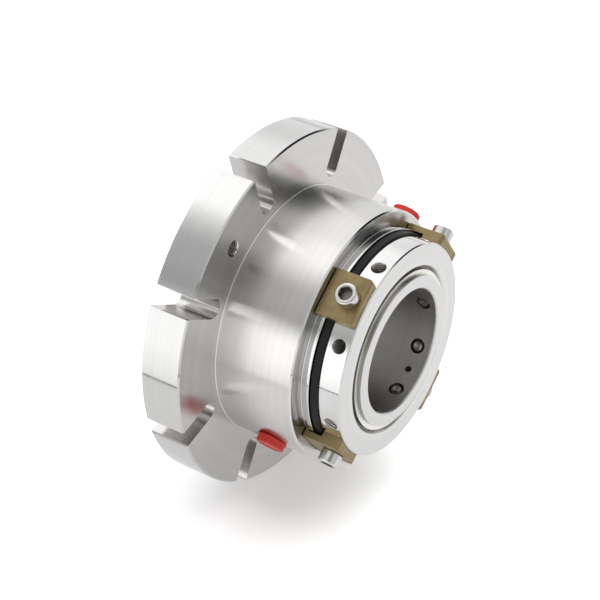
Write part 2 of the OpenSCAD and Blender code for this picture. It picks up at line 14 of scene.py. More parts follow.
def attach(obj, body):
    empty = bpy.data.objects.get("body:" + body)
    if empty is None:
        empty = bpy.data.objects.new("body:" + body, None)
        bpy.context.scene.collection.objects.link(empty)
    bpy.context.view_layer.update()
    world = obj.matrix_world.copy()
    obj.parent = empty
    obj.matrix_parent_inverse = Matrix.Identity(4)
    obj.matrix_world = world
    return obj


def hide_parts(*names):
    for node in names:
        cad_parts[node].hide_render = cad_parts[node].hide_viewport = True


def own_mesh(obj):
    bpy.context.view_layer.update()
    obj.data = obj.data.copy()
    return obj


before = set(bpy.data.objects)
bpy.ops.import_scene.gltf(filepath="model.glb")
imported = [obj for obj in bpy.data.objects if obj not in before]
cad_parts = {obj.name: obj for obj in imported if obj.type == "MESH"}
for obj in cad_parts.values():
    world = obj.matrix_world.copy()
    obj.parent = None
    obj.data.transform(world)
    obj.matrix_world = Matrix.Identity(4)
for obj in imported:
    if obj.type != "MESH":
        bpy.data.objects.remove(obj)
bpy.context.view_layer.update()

MM = 0.001

# Gaps, edges and threads that several pieces share
TOUCH, FIT, SLIDE_GAP, RUN_GAP = 0.01, 0.03, 0.08, 0.3
CUT, CONE_CUT = 1.0, 0.5  # how far a straight and a conical cutter reach past the surface
CHAMFER, EDGE, FINE_EDGE = 0.6, 0.15, 0.1
PITCH = 1.0

# Rules that sort faces: the margin round a place, and how squarely a face has to look along the shaft
NEAR, END_FACE = 0.3, 0.93

# Gland
FLANGE_R, FLANGE_T = 73.0, 17.2
BODY_R, BODY_END, ROOT_FILLET = 50.4, 50.7, 0.35
CHAMBER_R, GROOVE_R, RIM_X = 42.0, 43.4, 52.7
GASKET_IN_R, GASKET_OUT_R, GASKET_SEAT_X = 43.2, 48.7, 1.23
FACE_BORE_R, NECK_BORE_R, SHOULDER_X = 40.0, 36.5, 7.5
WEB_R, WEB_X, WEB_END = 33.4, 13.0, 16.0
SLOTS, SLOT_W, SLOT_END_R = 8, 7.8, 53.8
FLARE_W, FLARE_IN, FLARE_OUT = 1.2, 0.8, 1.6
GLAND_TURN = 29.6
JACK_PLACES, JACK_R, JACK_D, JACK_MOUTH_D = (2, 6), 60.5, 5.0, 6.6
JACK_THREAD_DEPTH, JACK_REACH = 0.45, 3.6
PORT_D, PORT_LOW, PORT_HIGH, PORT_TURN = 10.0, 40.0, 52.0, GLAND_TURN + 24.0
UPPER_PORT_X, LOWER_PORT_X = 43.2, 36.0

# End ring and excluder
RIM_R, RIM_END = 44.3, 54.6
RING_BORE_R, RING_STEP_X, SEAL_BORE_R, RING_BACK_X = 37.9, 51.7, 37.6, 46.5
EXCLUDER_R, EXCLUDER_X, EXCLUDER_FILLET = 43.6, 54.9, 0.35

# Collar
COLLAR_R, COLLAR_X, COLLAR_END, COLLAR_CHAMFER = 42.7, 57.9, 67.1, 0.45
HUB_R = 35.9
ROTOR_TURN = 31.0
RECESS_R, RECESS_FLOOR_R, RECESS_X = 33.9, 32.9, 65.82
CLIP_HOLE_R, CLIP_HOLE_DEPTH = 2.5, 8.0

# Sleeve and snap ring
SHAFT_R, SLEEVE_R = 25.0, 30.3
SLEEVE_START, SLEEVE_END = -14.0, 68.6
POCKET_R, HEAD_R, HEAD_X, POCKET_X = 38.7, 41.0, -4.0, -8.0
O_RING_X, O_RING_D, O_RING_W = SLEEVE_START + 4, 2.5, 3.25
SNAP_GAP, SNAP_TURN, SNAP_T, SNAP_W, SNAP_GROOVE = 12.0, 51.0, 1.2, 1.95, 1.0
GRUB_HOLE_R, PIN_HOLE_R, PIN_HOLE_TURN = 3.0, 1.3, ROTOR_TURN + 112.5

# Grub screws and their tapped holes in the collar
GRUBS, GRUB_X, GRUB_D, GRUB_KEY, GRUB_KEY_DEPTH = 8, 62.6, 5.8, 3.0, 4.0
GRUB_TIP, GRUB_TOP = SHAFT_R + 0.2, SHAFT_R + 12.2
GRUB_BARE_TIP, GRUB_BARE_TOP, GRUB_THREAD_DEPTH = 1.2, 0.4, 0.5
TAPPED_R, TAPPED_DEPTH, MOUTH_DEPTH, MOUTH_FLARE = 2.62, 0.35, 0.35, 0.62

# Clips and their screws
CLIPS, CLIP_TOP, CLIP_SCREW_X = 4, 46.2, 61.1
CLIP_TURN = ROTOR_TURN + 22.5
HEAD_D, HEAD_H, HEAD_CROWN, HEAD_EDGE = 8.5, 5.0, 0.75, 0.35
HEAD_KEY, HEAD_KEY_DEPTH = 4.8, 2.5
HEAD_MOUTH_R, HEAD_MOUTH_DEPTH, HEAD_MOUTH_RISE = HEAD_KEY / 2 + 0.12, 0.3, 0.73
STEM_R, STEM_TIP_R, STEM_DEPTH, STEM_POINT = 2.45, 2.1, 7.0, 0.4

# Port plugs
CAP_D, CAP_H, CAP_FLANGE_T, FLUTES, FLUTE_DEPTH = 12.0, 2.2, 0.9, 16, 0.45
PLUG_STEM, PLUG_STEM_R, PLUG_TIP_R = 6.0, 4.9, 4.3

# Springs: where each set starts, its length and the radius it stands on
INBOARD_SPRINGS = 6.0, 5.7, 38.2
OUTBOARD_SPRINGS = 44.0, 6.7, 39.3
SPRINGS, FIRST_SPRING, SPRING_TURNS, COIL_R, WIRE_R = 6, 30.0, 6.0, 0.95, 0.25


# Mesh making

def mesh_object(name, bm):
    mesh = bpy.data.meshes.new(name)
    bm.to_mesh(mesh)
    bm.free()
    obj = bpy.data.objects.new(name, mesh)
    bpy.context.scene.collection.objects.link(obj)
    return obj


def finish_bmesh(name, bm):
    """Object from a closed mesh, with its faces turned outwards."""
    bmesh.ops.recalc_face_normals(bm, faces=bm.faces)
    return mesh_object(name, bm)


def bake_modifiers(obj):
    """Applies every modifier, so that the piece is a plain mesh."""
    bpy.context.view_layer.update()
    graph = bpy.context.evaluated_depsgraph_get()
    mesh = bpy.data.meshes.new_from_object(obj.evaluated_get(graph))
    old = obj.data
    obj.modifiers.clear()
    obj.data = mesh
    mesh.name = obj.name
    if old.users == 0:
        bpy.data.meshes.remove(old)
    return obj


def rounded(corners, steps=4):
    """Closed profile from (radius, x, fillet) corners in mm, each corner rounded by its own fillet."""
    out = []
    count = len(corners)
    for i, (r, x, size) in enumerate(corners):
        here = Vector((r, x))
        if not size:
            out.append((r, x))
            continue
        back = Vector(corners[i - 1][:2]) - here
        ahead = Vector(corners[(i + 1) % count][:2]) - here
        half = back.angle(ahead) / 2
        back.normalize()
        ahead.normalize()
        reach = size / math.tan(half)
        centre = here + (back + ahead).normalized() * (size / math.sin(half))
        first = here + back * reach - centre
        last = here + ahead * reach - centre
        for k in range(steps + 1):
            p = centre + first.slerp(last, k / steps).normalized() * size
            out.append((p.x, p.y))
    return out


def skin(bm, loops, capped=True):
    """Faces between closed loops of vertices that follow each other, and over the first and the last."""
    for near, far in zip(loops, loops[1:]):
        for k in range(len(near)):
            m = (k + 1) % len(near)
            bm.faces.new((near[k], near[m], far[m], far[k]))
    if capped:
        bm.faces.new(loops[0])
        bm.faces.new(loops[-1])


def section(bm, profile, t):
    """Vertices of a (radius, x) profile in mm at an angle round the shaft, in radians."""
    return [bm.verts.new((x * MM, r * MM * math.sin(t), r * MM * math.cos(t))) for r, x in profile]


def turned(name, profile, segments=256):
    """Ring turned about the shaft axis from a closed profile of (radius, x) in mm."""
    bm = bmesh.new()
    rings = [section(bm, profile, 2 * math.pi * k / segments) for k in range(segments)]
    skin(bm, rings + rings[:1], capped=False)
    return finish_bmesh(name, bm)


def level_loop(bm, radii, h):
    """Vertices round the Z axis at one height, from a radius for each, in mm."""
    step = 2 * math.pi / len(radii)
    return [bm.verts.new((r * MM * math.cos(step * k), r * MM * math.sin(step * k), h * MM))
            for k, r in enumerate(radii)]


def upright(name, profile, segments=48):
    """Solid turned about the Z axis from an open (radius, height) profile in mm, both ends on the axis."""
    bm = bmesh.new()
    rings = [level_loop(bm, [r] * segments if r else [r], h) for r, h in profile]
    for low, high in zip(rings, rings[1:]):
        for k in range(segments):
            m = (k + 1) % segments
            if len(low) == 1:
                bm.faces.new((low[0], high[k], high[m]))
            elif len(high) == 1:
                bm.faces.new((low[k], high[0], low[m]))
            else:
                bm.faces.new((low[k], high[k], high[m], low[m]))
    return finish_bmesh(name, bm)


def cone(name, low_r, high_r, low, high, segments=48):
    """Upright cone between two heights in mm, with a radius at each."""
    return upright(name, [(0, low), (low_r, low), (high_r, high), (0, high)], segments)


def prism(name, outline, low, high):
    """Solid between two heights in mm from a closed (x, y) outline."""
    bm = bmesh.new()
    bottom = [bm.verts.new((x * MM, y * MM, low * MM)) for x, y in outline]
    top = [bm.verts.new((x * MM, y * MM, high * MM)) for x, y in outline]
    bm.faces.new(bottom)
    bm.faces.new(top)
    skin(bm, [bottom, top], capped=False)
    return finish_bmesh(name, bm)


def hexagon(key, low, high):
    """Cutter for a hexagon socket of a key size."""
    r = key / math.sqrt(3)
    angles = [math.radians(60 * k + 30) for k in range(6)]
    return prism("hexagon", [(r * math.cos(t), r * math.sin(t)) for t in angles], low, high)


def thread_wave(h, k, segments):
    """Height of a screw thread's flank, from 0 at its root to 1 at its crest, at one vertex of a loop."""
    phase = (h / PITCH - k / segments) % 1.0
    return 1 - abs(2 * phase - 1)


def tapped(name, r, low, high, depth):
    """Upright cutter in mm with a real screw thread on its wall."""
    segments, per_turn = 40, 6
    steep, foot = 1.35, 0.15  # flat crests and roots
    rows = int((high - low) / PITCH * per_turn) + 1
    bm = bmesh.new()
    loops = []
    for i in range(rows + 1):
        h = low + (high - low) * i / rows
        waves = [steep * thread_wave(h, k, segments) - foot for k in range(segments)]
        loops.append(level_loop(bm, [r + depth * min(1.0, max(0.0, wave)) for wave in waves], h))
    skin(bm, loops)
    return finish_bmesh(name, bm)


def place(obj, matrix):
    """Moves the mesh, so that the object itself stays at the origin."""
    obj.data.transform(matrix)
    return obj


def round_shaft(degrees):
    """Matrix that takes a piece modelled at the top of the shaft to an angle round it."""
    return Matrix.Rotation(-math.radians(degrees), 4, "X")


def along_shaft(x):
    """Matrix that takes a piece modelled over the origin to a place along the shaft, in mm."""
    return Matrix.Translation((x * MM, 0, 0))


def joined(name, objects):
    """One object from several meshes."""
    bm = bmesh.new()
    for obj in objects:
        bm.from_mesh(obj.data)
        bpy.data.objects.remove(obj)
    return mesh_object(name, bm)


def cut(obj, cutter):
    """Takes the cutter away from the piece."""
    mod = obj.modifiers.new("cut", "BOOLEAN")
    mod.operation = "DIFFERENCE"
    mod.solver = "EXACT"
    mod.object = cutter
    bake_modifiers(obj)
    bpy.data.objects.remove(cutter)
    return obj


def smooth(obj, angle=32):
    """Shades a piece smooth, apart from edges that are sharper than the angle."""
    obj.data.shade_smooth()
    obj.data.set_sharp_from_angle(angle=math.radians(angle))
    normals = obj.modifiers.new("normals", "WEIGHTED_NORMAL")
    normals.keep_sharp = True
    normals.weight = 80
    return bake_modifiers(obj)


def soften(obj, width, angle):
    """Breaks the edges of a piece that are sharper than the angle, and shades it smooth."""
    merge = 1e-7
    bm = bmesh.new()
    bm.from_mesh(obj.data)
    bmesh.ops.remove_doubles(bm, verts=bm.verts, dist=merge)
    bmesh.ops.dissolve_degenerate(bm, edges=bm.edges, dist=merge)
    bm.to_mesh(obj.data)
    bm.free()
    bevel = obj.modifiers.new("edge break", "BEVEL")
    bevel.limit_method = "ANGLE"
    bevel.angle_limit = math.radians(angle)
    bevel.width = width * MM
    bevel.segments = 2
    bevel.use_clamp_overlap = True
    bake_modifiers(obj)
    return smooth(obj)


# Geometry Nodes trees

def new_tree(name, sizes=()):
    """Tree with a geometry input and output, an input for each size, and those that place the copies."""
    tree = bpy.data.node_groups.new(name, "GeometryNodeTree")
    add = tree.interface.new_socket
    add(name="Geometry", in_out="INPUT", socket_type="NodeSocketGeometry")
    add(name="Geometry", in_out="OUTPUT", socket_type="NodeSocketGeometry")
    for size in (*sizes, "Start angle"):
        add(name=size, in_out="INPUT", socket_type="NodeSocketFloat")
    add(name="Count", in_out="INPUT", socket_type="NodeSocketInt")
    add(name="Finish", in_out="INPUT", socket_type="NodeSocketMaterial")
    return tree


def link(tree, source, output, target, entry):
    tree.links.new(source.outputs[output], target.inputs[entry])


def instance_round_shaft(tree, group_in, shape, output):
    """Adds the nodes that copy a shape evenly round the shaft, and ends the tree with them."""
    nodes = tree.nodes
    points = nodes.new("GeometryNodePoints")
    index = nodes.new("GeometryNodeInputIndex")
    step = nodes.new("ShaderNodeMath")
    step.operation = "DIVIDE"
    step.inputs[0].default_value = -2 * math.pi
    turn = nodes.new("ShaderNodeMath")
    turn.operation = "MULTIPLY"
    angle = nodes.new("ShaderNodeMath")
    angle.operation = "SUBTRACT"
    euler = nodes.new("ShaderNodeCombineXYZ")
    copies = nodes.new("GeometryNodeInstanceOnPoints")
    real = nodes.new("GeometryNodeRealizeInstances")
    finish = nodes.new("GeometryNodeSetMaterial")
    out = nodes.new("NodeGroupOutput")
    link(tree, group_in, "Count", points, "Count")
    link(tree, group_in, "Count", step, 1)
    link(tree, index, 0, turn, 0)
    link(tree, step, 0, turn, 1)
    link(tree, turn, 0, angle, 0)
    link(tree, group_in, "Start angle", angle, 1)
    link(tree, angle, 0, euler, "X")
    link(tree, points, 0, copies, "Points")
    link(tree, shape, output, copies, "Instance")
    link(tree, euler, 0, copies, "Rotation")
    link(tree, copies, 0, real, 0)
    link(tree, real, 0, finish, "Geometry")
    link(tree, group_in, "Finish", finish, "Material")
    link(tree, finish, 0, out, 0)


def copies_tree():
    """Copies the piece that carries the modifier evenly round the shaft."""
    tree = new_tree("copies round the shaft")
    group_in = tree.nodes.new("NodeGroupInput")
    instance_round_shaft(tree, group_in, group_in, "Geometry")
    return tree


def springs_tree():
    """Coil springs that stand evenly round the shaft."""
    tree = new_tree("face springs", (
        "Turns", "Coil radius", "Wire radius", "Length", "Start", "Pitch radius"))
    nodes = tree.nodes
    group_in = nodes.new("NodeGroupInput")
    spiral = nodes.new("GeometryNodeCurveSpiral")
    spiral.inputs["Resolution"].default_value = 20
    wire = nodes.new("GeometryNodeCurvePrimitiveCircle")
    wire.inputs["Resolution"].default_value = 8
    tube = nodes.new("GeometryNodeCurveToMesh")
    tube.inputs["Fill Caps"].default_value = True
    offset = nodes.new("ShaderNodeCombineXYZ")
    lay = nodes.new("GeometryNodeTransform")
    lay.inputs["Rotation"].default_value = (0, math.pi / 2, 0)
    link(tree, group_in, "Turns", spiral, "Rotations")
    link(tree, group_in, "Coil radius", spiral, "Start Radius")
    link(tree, group_in, "Coil radius", spiral, "End Radius")
    link(tree, group_in, "Length", spiral, "Height")
    link(tree, group_in, "Wire radius", wire, "Radius")
    link(tree, spiral, 0, tube, "Curve")
    link(tree, wire, 0, tube, "Profile Curve")
    link(tree, group_in, "Start", offset, "X")
    link(tree, group_in, "Pitch radius", offset, "Z")
    link(tree, tube, 0, lay, "Geometry")
    link(tree, offset, 0, lay, "Translation")
    instance_round_shaft(tree, group_in, lay, 0)
    return tree


def run_tree(obj, tree, **values):
    """Puts a tree on a piece, sets its inputs by their identifiers and makes the result a plain mesh."""
    mod = obj.modifiers.new("nodes", "NODES")
    mod.node_group = tree
    known = {item.name: item.identifier for item in tree.interface.items_tree
             if item.item_type == "SOCKET" and item.in_out == "INPUT"}
    for name, value in values.items():
        mod[known[name.replace("_", " ")]] = value
    return bake_modifiers(obj)


# Shader nodes

def shader_input(shader, **values):
    for name, value in values.items():
        shader.inputs[name.replace("_", " ")].default_value = value


def new_material(name, **values):
    material = bpy.data.materials.new(name)
    material.use_nodes = True
    shader = material.node_tree.nodes["Principled BSDF"]
    shader_input(shader, **values)
    return material, material.node_tree, shader


def maths(tree, operation, a, b=None, clamp=False):
    """Math node on two sockets or numbers; gives its output."""
    n = tree.nodes.new("ShaderNodeMath")
    n.operation = operation
    n.use_clamp = clamp
    for i, value in enumerate((a, b)):
        if value is None:
            continue
        if isinstance(value, (int, float)):
            n.inputs[i].default_value = value
        else:
            tree.links.new(value, n.inputs[i])
    return n.outputs[0]


def noise(tree, vector, scale, detail=2.0, rough=0.5):
    n = tree.nodes.new("ShaderNodeTexNoise")
    shader_input(n, Scale=scale, Detail=detail, Roughness=rough)
    tree.links.new(vector, n.inputs["Vector"])
    return n.outputs["Fac"]


def ramp_between(tree, value, from_low, from_high, low, high, kind="LINEAR"):
    """Maps a range of a value to another range, and holds it beyond the ends."""
    n = tree.nodes.new("ShaderNodeMapRange")
    n.interpolation_type = kind
    shader_input(n, From_Min=from_low, From_Max=from_high, To_Min=low, To_Max=high)
    tree.links.new(value, n.inputs["Value"])
    return n.outputs["Result"]


def spread(tree, factor, low, high):
    """Maps the middle of a noise, where most of it lies, to a range of values."""
    return ramp_between(tree, factor, 0.3, 0.7, low, high)


def tint(tree, colour, factor, low, high):
    """Colour times a brightness that follows a noise."""
    n = tree.nodes.new("ShaderNodeMix")
    n.data_type = "RGBA"
    n.blend_type = "MIX"
    tree.links.new(spread(tree, factor, 0, 1), n.inputs["Factor"])
    n.inputs["A"].default_value = (*[c * low for c in colour], 1)
    n.inputs["B"].default_value = (*[min(1.0, c * high) for c in colour], 1)
    return n.outputs["Result"]


def bump(tree, shader, height, strength, distance):
    n = tree.nodes.new("ShaderNodeBump")
    shader_input(n, Strength=strength, Distance=distance)
    tree.links.new(height, n.inputs["Height"])
    tree.links.new(n.outputs["Normal"], shader.inputs["Normal"])


def position(tree):
    return tree.nodes.new("ShaderNodeTexCoord").outputs["Object"]


def stretched(tree, scale):
    """Position with a scale along each axis, so that a noise on it is drawn out into a grain."""
    n = tree.nodes.new("ShaderNodeMapping")
    n.inputs["Scale"].default_value = scale
    tree.links.new(position(tree), n.inputs["Vector"])
    return n.outputs[0]


def split_axes(tree, vector):
    n = tree.nodes.new("ShaderNodeSeparateXYZ")
    tree.links.new(vector, n.inputs[0])
    return n.outputs


def lathe_vector(tree):
    """Vector of (x, radius) about the shaft, along which the marks of a lathe tool vary."""
    axes = split_axes(tree, position(tree))
    square = maths(tree, "ADD", maths(tree, "POWER", axes["Y"], 2.0), maths(tree, "POWER", axes["Z"], 2.0))
    join = tree.nodes.new("ShaderNodeCombineXYZ")
    tree.links.new(axes["X"], join.inputs["X"])
    tree.links.new(maths(tree, "SQRT", square), join.inputs["Y"])
    return join.outputs[0]


# Materials

def turned_metal(name, colour, rough, grain=0.03, aniso=0.0, depth=0.05):
    """Steel as it comes off a lathe: fine rings round the shaft, and faint patches from handling."""
    material, tree, shader = new_material(
        name, Metallic=1.0, Anisotropic=aniso, Anisotropic_Rotation=0.25)
    lathe = lathe_vector(tree)
    rings = noise(tree, lathe, scale=2600, detail=2.0, rough=0.6)
    bands = noise(tree, lathe, scale=300, detail=1.0)
    patches = noise(tree, position(tree), scale=45, detail=3.0)
    tree.links.new(tint(tree, colour, bands, 0.96, 1.03), shader.inputs["Base Color"])
    wear = maths(tree, "ADD", spread(tree, rings, -grain, grain), spread(tree, patches, -grain, grain))
    tree.links.new(maths(tree, "ADD", wear, rough, clamp=True), shader.inputs["Roughness"])
    if aniso:
        tangent = tree.nodes.new("ShaderNodeTangent")
        tangent.direction_type = "RADIAL"
        tangent.axis = "X"
        tree.links.new(tangent.outputs[0], shader.inputs["Tangent"])
    bump(tree, shader, rings, strength=depth, distance=0.02 * MM)
    return material


def milled_metal(name, colour, rough):
    """Steel cut by a milling tool: fine feed marks across the wall and a slightly uneven polish."""
    material, tree, shader = new_material(name, Metallic=1.0)
    feed = noise(tree, stretched(tree, (3.0, 0.4, 0.4)), scale=900, detail=2.0)
    patches = noise(tree, position(tree), scale=90, detail=2.0)
    tree.links.new(tint(tree, colour, patches, 0.93, 1.04), shader.inputs["Base Color"])
    polish = maths(tree, "ADD", spread(tree, feed, -0.05, 0.05), rough, clamp=True)
    tree.links.new(polish, shader.inputs["Roughness"])
    bump(tree, shader, feed, strength=0.10, distance=0.03 * MM)
    return material


def brushed_metal(name, colour, rough):
    """Dull, slightly tarnished metal with a straight brushed grain."""
    material, tree, shader = new_material(name, Metallic=1.0)
    grain = noise(tree, stretched(tree, (0.35, 3.0, 3.0)), scale=1500, detail=3.0, rough=0.6)
    tarnish = noise(tree, position(tree), scale=160, detail=4.0, rough=0.6)
    tree.links.new(tint(tree, colour, tarnish, 0.82, 1.12), shader.inputs["Base Color"])
    wear = maths(tree, "ADD", spread(tree, grain, -0.05, 0.05), spread(tree, tarnish, 0.05, -0.05))
    tree.links.new(maths(tree, "ADD", wear, rough, clamp=True), shader.inputs["Roughness"])
    bump(tree, shader, grain, strength=0.10, distance=0.03 * MM)
    return material


def moulded(name, colour, rough, grit, coat=0.0, spec=0.5):
    """Moulded plastic or rubber: fine grit in the surface and a faint unevenness of colour."""
    material, tree, shader = new_material(
        name, Specular_IOR_Level=spec, Coat_Weight=coat, Coat_Roughness=0.25)
    fine = noise(tree, position(tree), scale=3500, detail=3.0, rough=0.6)
    broad = noise(tree, position(tree), scale=220, detail=2.0)
    tree.links.new(tint(tree, colour, broad, 0.93, 1.06), shader.inputs["Base Color"])
    tree.links.new(spread(tree, fine, rough - 0.06, rough + 0.06), shader.inputs["Roughness"])
    bump(tree, shader, fine, strength=grit, distance=0.04 * MM)
    return material


def lapped(name, colour, rough):
    """Hard seal face: almost black, with a fine grain and a lapped sheen."""
    material, tree, shader = new_material(name, Specular_IOR_Level=0.6)
    fine = noise(tree, position(tree), scale=2600, detail=4.0, rough=0.7)
    rings = noise(tree, lathe_vector(tree), scale=1500, detail=2.0)
    tree.links.new(tint(tree, colour, fine, 0.85, 1.2), shader.inputs["Base Color"])
    sheen = maths(tree, "ADD", spread(tree, rings, -0.04, 0.04), rough)
    tree.links.new(sheen, shader.inputs["Roughness"])
    return material


turned_face = turned_metal("turned face steel", (0.575, 0.567, 0.555), 0.19, aniso=0.9, depth=0.04)
turned_body = turned_metal("turned body steel", (0.63, 0.622, 0.608), 0.24, grain=0.02, aniso=0.9,
                           depth=0.04)
polished = turned_metal("polished steel", (0.66, 0.655, 0.65), 0.05, grain=0.012, depth=0.02)
polished_rim = turned_metal("polished rim steel", (0.575, 0.57, 0.565), 0.07, grain=0.015, depth=0.012)
bored = turned_metal("bored steel", (0.55, 0.54, 0.53), 0.38, grain=0.04, aniso=0.5, depth=0.08)
milled = milled_metal("milled slot steel", (0.58, 0.57, 0.56), 0.2)
screw_steel = milled_metal("screw steel", (0.62, 0.615, 0.60), 0.16)
grub_steel = milled_metal("dark screw steel", (0.36, 0.35, 0.34), 0.3)
# Steel darkened as painted shade inside the tapped threads and the sleeve's holes
shaded_thread_steel = milled_metal("thread steel in painted shade", (0.40, 0.39, 0.375), 0.34)
# Steel darkened as painted shade, for screw sockets, the jacking threads, the collar's bore and recess
# floor, and the gap round the snap ring
shade_painted_steel = milled_metal("steel in painted shade", (0.18, 0.175, 0.16), 0.36)
dull_steel = turned_metal("dull turned steel", (0.31, 0.305, 0.29), 0.16)
ring_steel = turned_metal("satin ring steel", (0.84, 0.82, 0.78), 0.42)
pin_steel = turned_metal("ground pin steel", (0.70, 0.70, 0.71), 0.18)
spring_steel = milled_metal("spring wire", (0.60, 0.60, 0.61), 0.25)
brass = brushed_metal("tarnished brass", (0.285, 0.217, 0.110), 0.42)
red_plastic = moulded("red plug plastic", (0.74, 0.036, 0.018), 0.40, 0.10, coat=0.08, spec=0.4)
rubber = moulded("black rubber", (0.013, 0.013, 0.013), 0.5, 0.25, spec=0.2)
gasket_fibre = moulded("gasket fibre", (0.10, 0.10, 0.11), 0.75, 0.5, spec=0.3)
silicon_carbide = lapped("silicon carbide", (0.07, 0.072, 0.078), 0.22)
carbon = lapped("carbon", (0.025, 0.025, 0.027), 0.32)


def finish_all(obj, material):
    obj.data.materials.clear()
    obj.data.materials.append(material)


def finish_by_region(obj, materials, region):
    """Gives each face the material whose number the region rule returns for its centre and normal."""
    obj.data.materials.clear()
    for material in materials:
        obj.data.materials.append(material)
    for face in obj.data.polygons:
        face.material_index = region(face.center, face.normal)


def about_shaft(centre, normal):
    """Place along the shaft and radius in mm, and 1 for a face that looks straight away from the shaft."""
    r = math.hypot(centre.y, centre.z)
    outward = (normal.y * centre.y + normal.z * centre.z) / max(r, 1e-9)
    return centre.x / MM, r / MM, outward


def fit(obj, body, slot, *nodes):
    """Hands a finished piece to the frame in place of the CAD nodes that it stands for."""
    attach(obj, body)
    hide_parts(*nodes)
    return obj


# Gland

def slot_outline():
    """Outline of a slot, x across it and y away from the shaft: round inner end and flared mouth."""
    half = SLOT_W / 2
    mid = SLOT_END_R + half
    steps = 24
    points = [(-half - FLARE_W, FLANGE_R + FLARE_OUT), (-half, FLANGE_R - FLARE_IN)]
    for k in range(steps + 1):
        t = math.pi + math.pi * k / steps
        points.append((half * math.cos(t), mid + half * math.sin(t)))
    return points + [(half, FLANGE_R - FLARE_IN), (half + FLARE_W, FLANGE_R + FLARE_OUT)]


def slot_cutters():
    """One closed cutter for each slot, through the flange along X."""
    upright_to_shaft = Matrix(((0, 0, 1, 0), (1, 0, 0, 0), (0, 1, 0, 0), (0, 0, 0, 1)))
    cutters = []
    for k in range(SLOTS):
        cutter = prism("slot", slot_outline(), -CUT, FLANGE_T + CUT)
        cutters.append(place(cutter, round_shaft(GLAND_TURN + k * 360 / SLOTS) @ upright_to_shaft))
    return cutters


def jack_turns():
    """Angles of the two jacking holes, each midway between two slots."""
    return [GLAND_TURN + (k + 0.5) * 360 / SLOTS for k in JACK_PLACES]


def jack_cutters():
    """Thread and countersink of each jacking hole."""
    cutters = []
    mouth = (JACK_MOUTH_D - JACK_D) / 2
    for degrees in jack_turns():
        thread = tapped("thread", JACK_D / 2, -CUT, FLANGE_T + CUT, JACK_THREAD_DEPTH)
        sink = cone("sink", JACK_D / 2, JACK_MOUTH_D / 2 + CONE_CUT, FLANGE_T - mouth, FLANGE_T + CONE_CUT)
        along = Matrix.Translation((0, 0, JACK_R * MM)) @ Matrix.Rotation(math.pi / 2, 4, "Y")
        for cutter in (thread, sink):
            cutters.append(place(cutter, round_shaft(degrees) @ along))
    return cutters


def port_cutters():
    cutters = []
    for x, degrees in ((UPPER_PORT_X, PORT_TURN), (LOWER_PORT_X, PORT_TURN + 180)):
        port = cone("port", PORT_D / 2, PORT_D / 2, PORT_LOW, PORT_HIGH)
        cutters.append(place(port, round_shaft(degrees) @ along_shaft(x)))
    return joined("ports", cutters)


def gland_profile():
    return rounded([
        (FACE_BORE_R, 0, 0.2),
        (GASKET_IN_R, 0, 0), (GASKET_IN_R, GASKET_SEAT_X, 0),
        (GASKET_OUT_R, GASKET_SEAT_X, 0), (GASKET_OUT_R, 0, 0),
        (FLANGE_R - CHAMFER, 0, EDGE), (FLANGE_R, CHAMFER, EDGE),
        (FLANGE_R, FLANGE_T - CHAMFER, EDGE), (FLANGE_R - CHAMFER, FLANGE_T, EDGE),
        (BODY_R, FLANGE_T, ROOT_FILLET),
        (BODY_R, BODY_END - CHAMFER, EDGE), (BODY_R - CHAMFER, BODY_END, EDGE),
        (GROOVE_R, BODY_END, ROOT_FILLET), (GROOVE_R, RIM_X, FINE_EDGE),
        (CHAMBER_R, RIM_X, 0), (CHAMBER_R, WEB_END, 0.3),
        (WEB_R, WEB_END, FINE_EDGE), (WEB_R, WEB_X, FINE_EDGE),
        (NECK_BORE_R, WEB_X, FINE_EDGE), (NECK_BORE_R, SHOULDER_X, FINE_EDGE),
        (FACE_BORE_R, SHOULDER_X, 0)])


def near_jack(centre):
    """Whether a point lies in one of the two jacking holes."""
    middle = Vector((centre.x, 0, JACK_R * MM))
    away = [(round_shaft(-degrees) @ centre - middle).length for degrees in jack_turns()]
    return min(away) < JACK_REACH * MM


def gland_region(centre, normal):
    """0 turned end face, 1 polished rim, 2 body, 3 milled slot, 4 polished groove, 5 inside, 6 thread in
    painted shade.
    """
    x, r, outward = about_shaft(centre, normal)
    end_face = abs(normal.x) > END_FACE
    if r < CHAMBER_R + NEAR and x < RIM_X - 0.7:
        return 5
    if x < FLANGE_T + 0.05 and r > BODY_R + 0.6:
        if abs(r - JACK_R) < JACK_D / 2 + 0.5 and NEAR < x < FLANGE_T - NEAR and near_jack(centre):
            return 6
        if end_face:
            return 0
        rim = r > FLANGE_R - 0.7 and outward > 0.6
        in_slot = r > SLOT_END_R - NEAR and abs(normal.x) < 0.6
        return 3 if in_slot and not rim else 1
    if end_face and (x < 1.0 or x > BODY_END - 0.1 and r > GROOVE_R + 0.1):
        return 0
    if r > BODY_R - 0.4 and outward > 0.9:
        return 2
    return 4


def make_gland():
    """Flange and body in one turned piece, with slots, jacking holes and ports cut in it."""
    gland = turned("gland_turned_and_slotted", gland_profile(), 360)
    cut(gland, joined("slots", slot_cutters()))
    for cutter in jack_cutters():
        cut(gland, cutter)
    cut(gland, port_cutters())
    soften(gland, 0.16, angle=40)
    finish_by_region(gland, [turned_face, polished_rim, turned_body, milled, polished, bored, shade_painted_steel],
                     gland_region)
    return fit(gland, "gland_body", "turned_steel", "gland")


